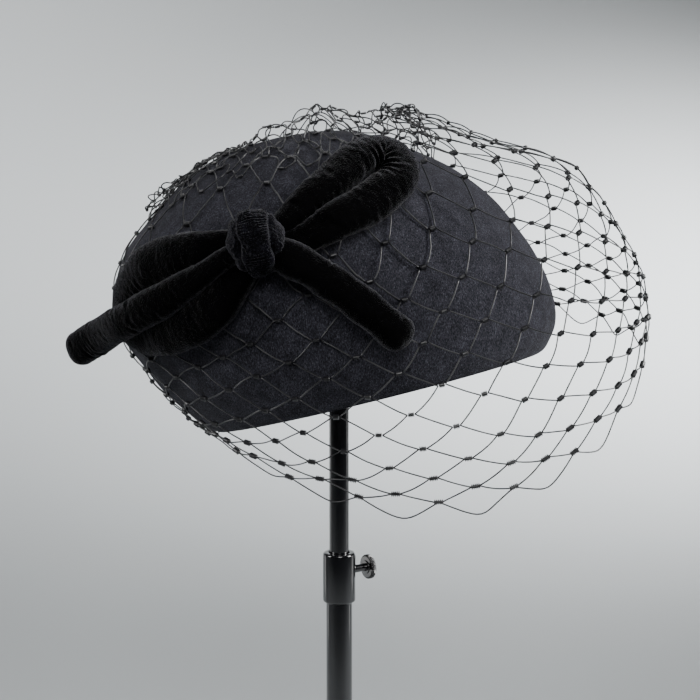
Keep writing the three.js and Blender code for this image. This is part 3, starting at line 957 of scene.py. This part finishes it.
@dataclass
class Stand:
    """The telescoping stand: base, two tubes, collar and thumb screw."""

    base_diameter: float = 160.0
    base_thick: float = 6.0
    base_edge: float = 1.5
    boss_diameter: float = 30.0
    boss_height: float = 12.0
    tube_wall: float = 1.0
    lower_tube_diameter: float = 13.2
    upper_tube_diameter: float = 10.0
    upper_tube_overlap: float = 60.0
    collar_diameter: float = 16.6
    collar_height: float = 25.4
    collar_middle: float = 184.3
    collar_edge: float = 1.2
    screw_above_middle: float = 2.6
    screw_reach: float = 17.5
    screw_turn: float = 33.0
    stem_diameter: float = 4.0
    head_diameter: float = 12.5
    head_thick: float = 3.4
    head_teeth: int = 40
    gap: float = 0.35
    axis_hole: float = 0.02

    def lathe(self, name: str, profile: Array, around: int = 128) -> Object:
        """Turn a profile of radius and height round the pole.

        It closes on itself, or at the axis if it starts there.

        Args:
            name: The object's name.
            profile: Corners of the profile, anticlockwise in radius and height.
            around: How many points a ring has.

        Returns:
            The turned object.
        """
        angle = circle(around)
        radius, height = np.maximum(profile[:, :1], self.axis_hole), profile[:, 1:]
        rings = stack(radius * np.cos(angle), radius * np.sin(angle), height)
        if profile[0, 0] <= self.axis_hole:
            return capped(name, [rings])
        faces = grid_faces(*rings.shape[:2], True, True)
        return make_mesh(name, rings.reshape(-1, 3), [faces])

    def pipe(self, name: str, diameter: float, bottom: float, top: float) -> Object:
        """A tube with softly broken ends."""
        outer, inner = diameter / 2.0, diameter / 2.0 - self.tube_wall
        return self.lathe(name, rounded([
            (inner, bottom, 0.0), (outer, bottom, 0.3), (outer, top, 0.3), (inner, top, 0.3),
            (inner, (bottom + top) / 2.0, 0.0),
        ]))

    def screw(self) -> Object:
        """The thumb screw: a stem, and a head whose rim is knurled by teeth.

        The head's radius falls between its teeth, and its edges are rounded.

        Returns:
            The screw's object.
        """
        tip = self.upper_tube_diameter / 2.0 + self.gap
        face = self.screw_reach - self.head_thick / 2.0
        end = face + self.head_thick
        stem, head = self.stem_diameter / 2.0, self.head_diameter / 2.0
        profile = rounded([
            (self.axis_hole, tip, 0.0), (stem, tip, 0.3), (stem, face, 0.2),
            (stem + 1.4, face, 0.4), (stem + 1.4, face + 0.5, 0.1),
            (head - 0.5, face + 0.5, 0.5), (head, face + 1.0, 0.3),
            (head, end - 0.5, 0.3), (head - 0.6, end, 0.4), (head - 2.6, end, 0.5),
            (head - 3.1, end - 0.35, 0.3), (self.axis_hole, end - 0.35, 0.0),
        ])
        angle = circle(self.head_teeth * 6)
        radius, along = profile[:, :1], profile[:, 1:]
        tooth = 0.25 - 0.25 * np.cos(angle * self.head_teeth)
        knurled = smooth(radius, head - 1.0, head - 0.3)
        radius = radius - knurled * tooth * 0.9
        rings = stack(along, radius * np.cos(angle), radius * np.sin(angle))
        turn = math.radians(self.screw_turn)
        spin = np.array([
            [math.cos(turn), math.sin(turn), 0.0], [-math.sin(turn), math.cos(turn), 0.0],
            [0.0, 0.0, 1.0]])
        middle = np.array([0.0, 0.0, self.collar_middle + self.screw_above_middle])
        return capped("knurled_screw", [rings @ spin + middle])

    def build(self) -> dict[str, Object]:
        """Make the stand's pieces.

        Returns:
            The pieces by the names of the nodes that they replace.
        """
        pad_low = float(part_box("support_pad")[0].z) / MM
        pole_top = float(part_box("upper_tube")[1].z) / MM
        low = self.collar_middle - self.collar_height / 2.0
        high = self.collar_middle + self.collar_height / 2.0
        step = self.collar_middle
        low_bore = self.lower_tube_diameter / 2.0 + self.gap
        high_bore = self.upper_tube_diameter / 2.0 + self.gap
        radius, edge = self.collar_diameter / 2.0, self.collar_edge
        collar = self.lathe("collar_sleeve", rounded([
            (low_bore, (low + step) / 2.0, 0.0), (low_bore, low, 0.2), (radius, low, edge),
            (radius, high, edge), (high_bore, high, 0.4), (high_bore, step, 0.1),
            (low_bore, step, 0.0),
        ]))
        base_radius, boss = self.base_diameter / 2.0, self.boss_diameter / 2.0
        top = self.base_thick + self.boss_height
        base = self.lathe("round_base", rounded([
            (self.axis_hole, 0.0, 0.0), (base_radius, 0.0, self.base_edge),
            (base_radius, self.base_thick, 2.5), (boss, self.base_thick, 2.0),
            (boss, top, self.base_edge), (low_bore, top, 0.4), (low_bore, self.base_thick, 0.1),
            (self.axis_hole, self.base_thick, 0.0),
        ]), 192)
        LOG.info("pad from %.1f mm, pole to %.1f mm", pad_low, pole_top)
        return {
            "lower_tube": self.pipe(
                "lower_pole", self.lower_tube_diameter, self.base_thick + self.gap,
                self.collar_middle - self.gap),
            "upper_tube": self.pipe(
                "upper_pole", self.upper_tube_diameter,
                self.collar_middle - self.gap - self.upper_tube_overlap, pole_top),
            "collar": collar,
            "thumb_screw": self.screw(),
            "base": base,
        }


def linear(colour: str) -> tuple[float, ...]:
    """Turn an sRGB hex colour into the linear values that Blender wants, and alpha."""
    values = [int(colour[k : k + 2], 16) / 255.0 for k in (0, 2, 4)]
    return *(v / 12.92 if v <= 0.04045 else ((v + 0.055) / 1.055) ** 2.4 for v in values), 1.0


def node(
    tree: Tree,
    kind: str,
    settings: dict[str | int, object] | None = None,
    links: dict[str | int, Socket] | None = None,
) -> bpy.types.Node:
    """Add a node with its settings and its links.

    Args:
        tree: The material's node tree.
        kind: The node's type name, without its first part.
        settings: Values by socket, by property name after a dot, or a ramp's places and
            hex colours as stops.
        links: Output sockets by the input that they feed.

    Returns:
        The new node.
    """
    made = tree.nodes.new(f"ShaderNode{kind}")
    for name, value in (settings or {}).items():
        if name == "stops":
            ramp = made.color_ramp.elements
            for k, (place, colour) in enumerate(value):
                stop = ramp[k] if k < len(ramp) else ramp.new(place)
                stop.position, stop.color = place, linear(colour)
        elif str(name).startswith("."):
            setattr(made, name[1:], value)
        else:
            made.inputs[name].default_value = value
    wire(tree, made, links or {})
    return made


def wire(
    tree: Tree, made: bpy.types.Node, links: dict[str | int, Socket]
) -> None:
    """Feed a node's inputs, by name or number, from output sockets."""
    for name, source in links.items():
        tree.links.new(source, made.inputs[name])


def per_mm(grains: float) -> float:
    """The pattern scale that puts that many grains in a millimetre."""
    return grains / MM


def fresh(
    name: str, settings: dict[str, float]
) -> tuple[bpy.types.Material, Tree, bpy.types.Node, Socket]:
    """A new material with its shader.

    Args:
        name: The material's name.
        settings: The values that are the same all over, on the shader's own sockets.

    Returns:
        The material, its tree, its Principled shader and its Object coordinates.
    """
    material = bpy.data.materials.new(name)
    material.use_nodes = True
    tree = material.node_tree
    shader = tree.nodes["Principled BSDF"]
    for socket, value in settings.items():
        shader.inputs[socket].default_value = value
    return material, tree, shader, node(tree, "TexCoord").outputs["Object"]


@dataclass(frozen=True)
class WoolFelt:
    """Pressed wool felt, dyed charcoal-black: matte, with short fibres and pale specks.

    Fibres and clouds are counted by the millimetre, fibres across and along.
    """

    dark: str = "131317"
    light: str = "3b3b44"
    speck: str = "5e5e68"
    sheen: float = 0.04
    fibres: Triple = (2.3, 2.3, 1.0)
    clouds: float = 0.18

    def material(self) -> bpy.types.Material:
        """Make the felt.

        Fibres are noise stretched along one way, over cloudy patches a few millimetres
        across, and the few brightest are pale specks. Real wool is some twenty times finer,
        and these fibres are as coarse as they need to be to show.

        Returns:
            The material.
        """
        material, tree, shader, place = fresh("wool_felt", {
            "Roughness": 0.95, "Specular IOR Level": 0.2, "Sheen Weight": self.sheen,
            "Sheen Roughness": 0.5})
        scale = tuple(map(per_mm, self.fibres))
        along = node(tree, "Mapping", {"Scale": scale}, {"Vector": place})
        fibres = node(
            tree, "TexNoise", {"Scale": 1.0, "Detail": 3.0, "Roughness": 0.7, "Distortion": 0.6},
            {"Vector": along.outputs["Vector"]})
        clouds = node(
            tree, "TexNoise", {"Scale": per_mm(self.clouds), "Detail": 4.0, "Roughness": 0.6},
            {"Vector": place})
        mixed = node(
            tree, "Mix", {"Factor": 0.2},
            {"A": fibres.outputs["Fac"], "B": clouds.outputs["Fac"]}).outputs["Result"]
        colour = node(tree, "ValToRGB", {
            "stops": ((0.41, self.dark), (0.57, self.light), (0.67, self.speck))},
            {"Fac": mixed})
        bump = node(tree, "Bump", {"Strength": 0.5, "Distance": 0.0004}, {"Height": mixed})
        wire(tree, shader, {
            "Base Color": colour.outputs["Color"], "Normal": bump.outputs["Normal"]})
        return material


@dataclass(frozen=True)
class CrushedVelvet:
    """Black velvet: pile that swallows light face on and lights up where it is grazed, by its
    sheen and by a painted sheen.

    Tufts and crushed patches are counted by the millimetre, and graze is where the painted sheen
    starts, from 0 face on to 1 at the edge.
    """

    name: str = "crushed_velvet"
    pile: str = "020203"
    worn: str = "060609"
    # tip is the colour of the painted sheen on the highest tufts towards the edges
    tip: str = "8c8c98"
    graze: float = 0.3
    tufts: float = 1.5
    patches: float = 0.26

    def material(self) -> bpy.types.Material:
        """Make the velvet.

        The pile is fine noise, coarser than real pile so that it shows. Its highest tufts get a
        paler colour painted in where the surface turns from the view, a painted grainy sheen,
        and where it is crushed, in patches a few millimetres across, it stands lighter.

        Returns:
            The material.
        """
        material, tree, shader, place = fresh(self.name, {
            "Roughness": 0.9, "Specular IOR Level": 0.05, "Sheen Weight": 0.3,
            "Sheen Roughness": 0.1})
        tufts = node(
            tree, "TexNoise", {"Scale": per_mm(self.tufts), "Detail": 3.0, "Roughness": 0.75},
            {"Vector": place}).outputs["Fac"]
        crushed = node(
            tree, "TexNoise", {
                "Scale": per_mm(self.patches), "Detail": 4.0, "Roughness": 0.65,
                "Distortion": 0.8},
            {"Vector": place}).outputs["Fac"]
        face_on = node(
            tree, "ValToRGB", {"stops": ((0.5, self.pile), (0.75, self.worn))},
            {"Fac": crushed})
        # Painted sheen: towards the edges the highest tufts are coloured the tip colour.
        facing = node(tree, "LayerWeight", {"Blend": 0.5}).outputs["Facing"]
        painted_sheen_edge = node(
            tree, "MapRange", {"From Min": self.graze, "From Max": 0.92}, {"Value": facing})
        painted_sheen_specks = node(tree, "MapRange", {"From Min": 0.5, "From Max": 0.68}, {"Value": tufts})
        share = node(
            tree, "Math", {".operation": "MULTIPLY"},
            {0: painted_sheen_edge.outputs["Result"], 1: painted_sheen_specks.outputs["Result"]})
        pile_and_painted_sheen = node(
            tree, "Mix", {".data_type": "RGBA", 7: linear(self.tip)},
            {0: share.outputs["Value"], 6: face_on.outputs["Color"]})
        bump = node(tree, "Bump", {"Strength": 1.0, "Distance": 0.0009}, {"Height": tufts})
        soft = node(
            tree, "Bump", {"Strength": 0.5, "Distance": 0.001},
            {"Height": crushed, "Normal": bump.outputs["Normal"]})
        wire(tree, shader, {"Base Color": pile_and_painted_sheen.outputs[2], "Normal": soft.outputs["Normal"]})
        return material


@dataclass(frozen=True)
class NylonNet:
    """Stiffened nylon thread, dyed black: a smooth round strand with a soft highlight."""

    dye: str = "131316"
    wound: str = "26262a"
    twists: float = 3.5

    def material(self) -> bpy.types.Material:
        """Make the thread, with its twist as faint noise of so many grains a millimetre.

        Returns:
            The material.
        """
        material, tree, shader, place = fresh(
            "nylon_thread", {"Roughness": 0.36, "Specular IOR Level": 1.0})
        twist = node(
            tree, "TexNoise", {"Scale": per_mm(self.twists), "Detail": 2.0}, {"Vector": place})
        colour = node(
            tree, "ValToRGB", {"stops": ((0.4, self.dye), (0.7, self.wound))},
            {"Fac": twist.outputs["Fac"]})
        wire(tree, shader, {"Base Color": colour.outputs["Color"]})
        return material


@dataclass(frozen=True)
class BlackEnamel:
    """Black stoving enamel over steel tube: glossy, with a faint orange peel.

    Rubbed patches and peel are counted by the millimetre.
    """

    colour: str = "121215"
    scuffed: str = "18181b"
    roughness: float = 0.07
    rubbed: float = 0.2
    rubs: float = 0.09
    peel: float = 0.7

    def material(self) -> bpy.types.Material:
        """Make the enamel, with its faint peel and duller rubbed patches.

        Returns:
            The material.
        """
        material, tree, shader, place = fresh("black_enamel", {
            "Specular IOR Level": 1.0, "Coat Weight": 0.6, "Coat Roughness": 0.06})
        rubbed = node(
            tree, "TexNoise", {"Scale": per_mm(self.rubs), "Detail": 5.0, "Roughness": 0.6},
            {"Vector": place}).outputs["Fac"]
        colour = node(
            tree, "ValToRGB", {"stops": ((0.45, self.colour), (0.75, self.scuffed))},
            {"Fac": rubbed})
        gloss = node(
            tree, "MapRange", {"To Min": self.roughness, "To Max": self.rubbed},
            {"Value": rubbed})
        peel = node(
            tree, "TexNoise", {"Scale": per_mm(self.peel), "Detail": 1.0}, {"Vector": place})
        bump = node(
            tree, "Bump", {"Strength": 0.05, "Distance": 0.0005},
            {"Height": peel.outputs["Fac"]})
        wire(tree, shader, {
            "Base Color": colour.outputs["Color"], "Roughness": gloss.outputs["Result"],
            "Normal": bump.outputs["Normal"]})
        return material


@dataclass(frozen=True)
class Lamp:
    """A soft box, in metres, watts and degrees of spread, from its place to its target."""

    name: str
    place: Triple
    target: Triple
    size: tuple[float, float]
    power: float
    spread: float

    def build(self) -> None:
        """Add the light."""
        lamp = bpy.data.lights.new(self.name, "AREA")
        lamp.shape = "RECTANGLE"
        lamp.size, lamp.size_y = self.size
        lamp.energy = self.power
        lamp.spread = math.radians(self.spread)
        made = bpy.data.objects.new(self.name, lamp)
        made.location = self.place
        aim = Vector(self.target) - Vector(self.place)
        made.rotation_euler = aim.to_track_quat("-Z", "Y").to_euler()
        bpy.context.scene.collection.objects.link(made)


LAMPS = (
    Lamp("key", (1.25, -0.15, 0.85), (0.02, 0.0, 0.3), (0.4, 1.0), 3.0, 50.0),
    Lamp("fill", (-1.2, -0.35, 0.75), (0.0, 0.0, 0.3), (0.4, 0.8), 0.9, 50.0),
    Lamp("top", (-0.1, 0.4, 1.4), (0.0, 0.0, 0.35), (0.4, 0.4), 0.32, 50.0),
    Lamp("front", (0.2, -1.4, 1.2), (0.0, 0.0, 0.33), (0.8, 0.8), 0.9, 40.0),
    Lamp("wall_left", (-1.1, 0.9, 1.2), (-0.7, 2.1, 0.4), (1.0, 1.0), 7.6, 120.0),
    Lamp("wall_right", (1.3, 0.8, 1.3), (0.41, 1.23, 0.23), (0.7, 0.5), 12.8, 60.0),
    Lamp("strip_right", (0.55, 0.15, 0.16), (0.0, 0.0, 0.16), (0.08, 0.4), 0.19, 180.0),
    Lamp("strip_left", (-0.5, 0.23, 0.16), (0.0, 0.0, 0.16), (0.12, 0.4), 0.16, 180.0),
    Lamp("wall_wide", (-0.5, 0.6, 1.5), (-0.1, 1.6, 0.5), (1.0, 1.0), 4.2, 104.0),
)


@dataclass
class Studio:
    """Pale seamless backdrop, soft lights and the camera at the photo's angle."""

    camera_place: Triple = (0.0055, -0.647, 0.3623)
    camera_pitch: float = 5.5
    focal_share: float = 1300.0 / 700.0
    sensor: float = 36.0
    floor_front: float = -3.0
    wall_back: float = 2.3
    wall_top: float = 3.5
    half_wide: float = 5.0
    curve: float = 2.0
    sky_strength: float = 0.02

    def build(self) -> None:
        """Set up the camera, the backdrop, the lights and the sky."""
        self.camera()
        self.backdrop()
        for lamp in LAMPS:
            lamp.build()
        self.sky()

    def camera(self) -> None:
        """The photo's camera."""
        lens = bpy.data.cameras.new("camera")
        lens.sensor_width = self.sensor
        lens.lens = self.sensor * self.focal_share
        lens.clip_start = 0.01
        made = bpy.data.objects.new("camera", lens)
        made.location = self.camera_place
        made.rotation_euler = (math.radians(90.0 - self.camera_pitch), 0.0, 0.0)
        bpy.context.scene.collection.objects.link(made)
        bpy.context.scene.camera = made

    def backdrop(self) -> None:
        """A floor that curves up into a wall, as one sheet: level, a quarter circle, and up."""
        turn = np.linspace(0.0, np.pi / 2.0, 24)
        bend = self.wall_back - self.curve + self.curve * np.sin(turn)
        y = np.concatenate([[self.floor_front], bend, [self.wall_back]])
        z = np.concatenate([[0.0], self.curve - self.curve * np.cos(turn), [self.wall_top]])
        x = np.array([[-self.half_wide, self.half_wide]])
        points = stack(x, y[:, None], z[:, None])
        faces = grid_faces(*points.shape[:2], False, False)
        made = make_mesh("backdrop", points.reshape(-1, 3), [faces], scale=1.0)
        material, tree, shader, place = fresh("painted_backdrop", {"Roughness": 0.9})
        mottle = node(tree, "TexNoise", {"Scale": 0.7, "Detail": 1.0}, {"Vector": place})
        colour = node(
            tree, "ValToRGB", {"stops": ((0.0, "c4c9cb"), (1.0, "cfd3d5"))},
            {"Fac": mottle.outputs["Fac"]})
        wire(tree, shader, {"Base Color": colour.outputs["Color"]})
        made.data.materials.append(material)

    def sky(self) -> None:
        """An even grey sky that fills the shadows."""
        world = bpy.data.worlds.new("sky")
        world.use_nodes = True
        inputs = world.node_tree.nodes["Background"].inputs
        inputs["Color"].default_value = linear("cfd2d6")
        inputs["Strength"].default_value = self.sky_strength
        bpy.context.scene.world = world


def dress(
    piece: Object, material: bpy.types.Material, slot: Slot, *nodes: str
) -> None:
    """Give a piece its material, ride it, and hide the CAD nodes that it replaces.

    Args:
        piece: The finished piece.
        material: What it is made of.
        slot: The record's slot; it is not used.
        nodes: The CAD nodes that it stands for.
    """
    piece.data.materials.clear()
    piece.data.materials.append(material)
    if nodes:
        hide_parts(*nodes)
    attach(piece, BODY)
    LOG.info("%s: %d faces", piece.name, len(piece.data.polygons))


def main() -> None:
    """Build the studio, the stand and the hat."""
    logging.basicConfig(level=logging.INFO, format="%(name)s: %(message)s")
    Studio().build()
    seat = HatFrame()
    felt, velvet = WoolFelt().material(), CrushedVelvet().material()
    # The knot's velvet has its own painted sheen colour, 74747f, and its painted sheen starts
    # already face on.
    wrap = CrushedVelvet("knot_velvet", "030306", "14141c", "74747f", -0.12).material()
    nylon, enamel = NylonNet().material(), BlackEnamel().material()
    for name, piece in Stand().build().items():
        dress(piece, enamel, Slot.METAL, name)
    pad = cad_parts["support_pad"]
    pad.data.materials.clear()
    pad.data.materials.append(enamel)
    crown = Crown()
    dress(crown.build(seat), felt, Slot.FELT, "crown")
    veil = Veil(crown)
    for piece in veil.build(seat):
        dress(piece, nylon, Slot.NETTING, "veil")
    for name, piece in Bow(crown, veil).build(seat).items():
        dress(piece, wrap if name == "bow_knot" else velvet, Slot.VELVET, name)


if __name__ == "__main__":
    main()
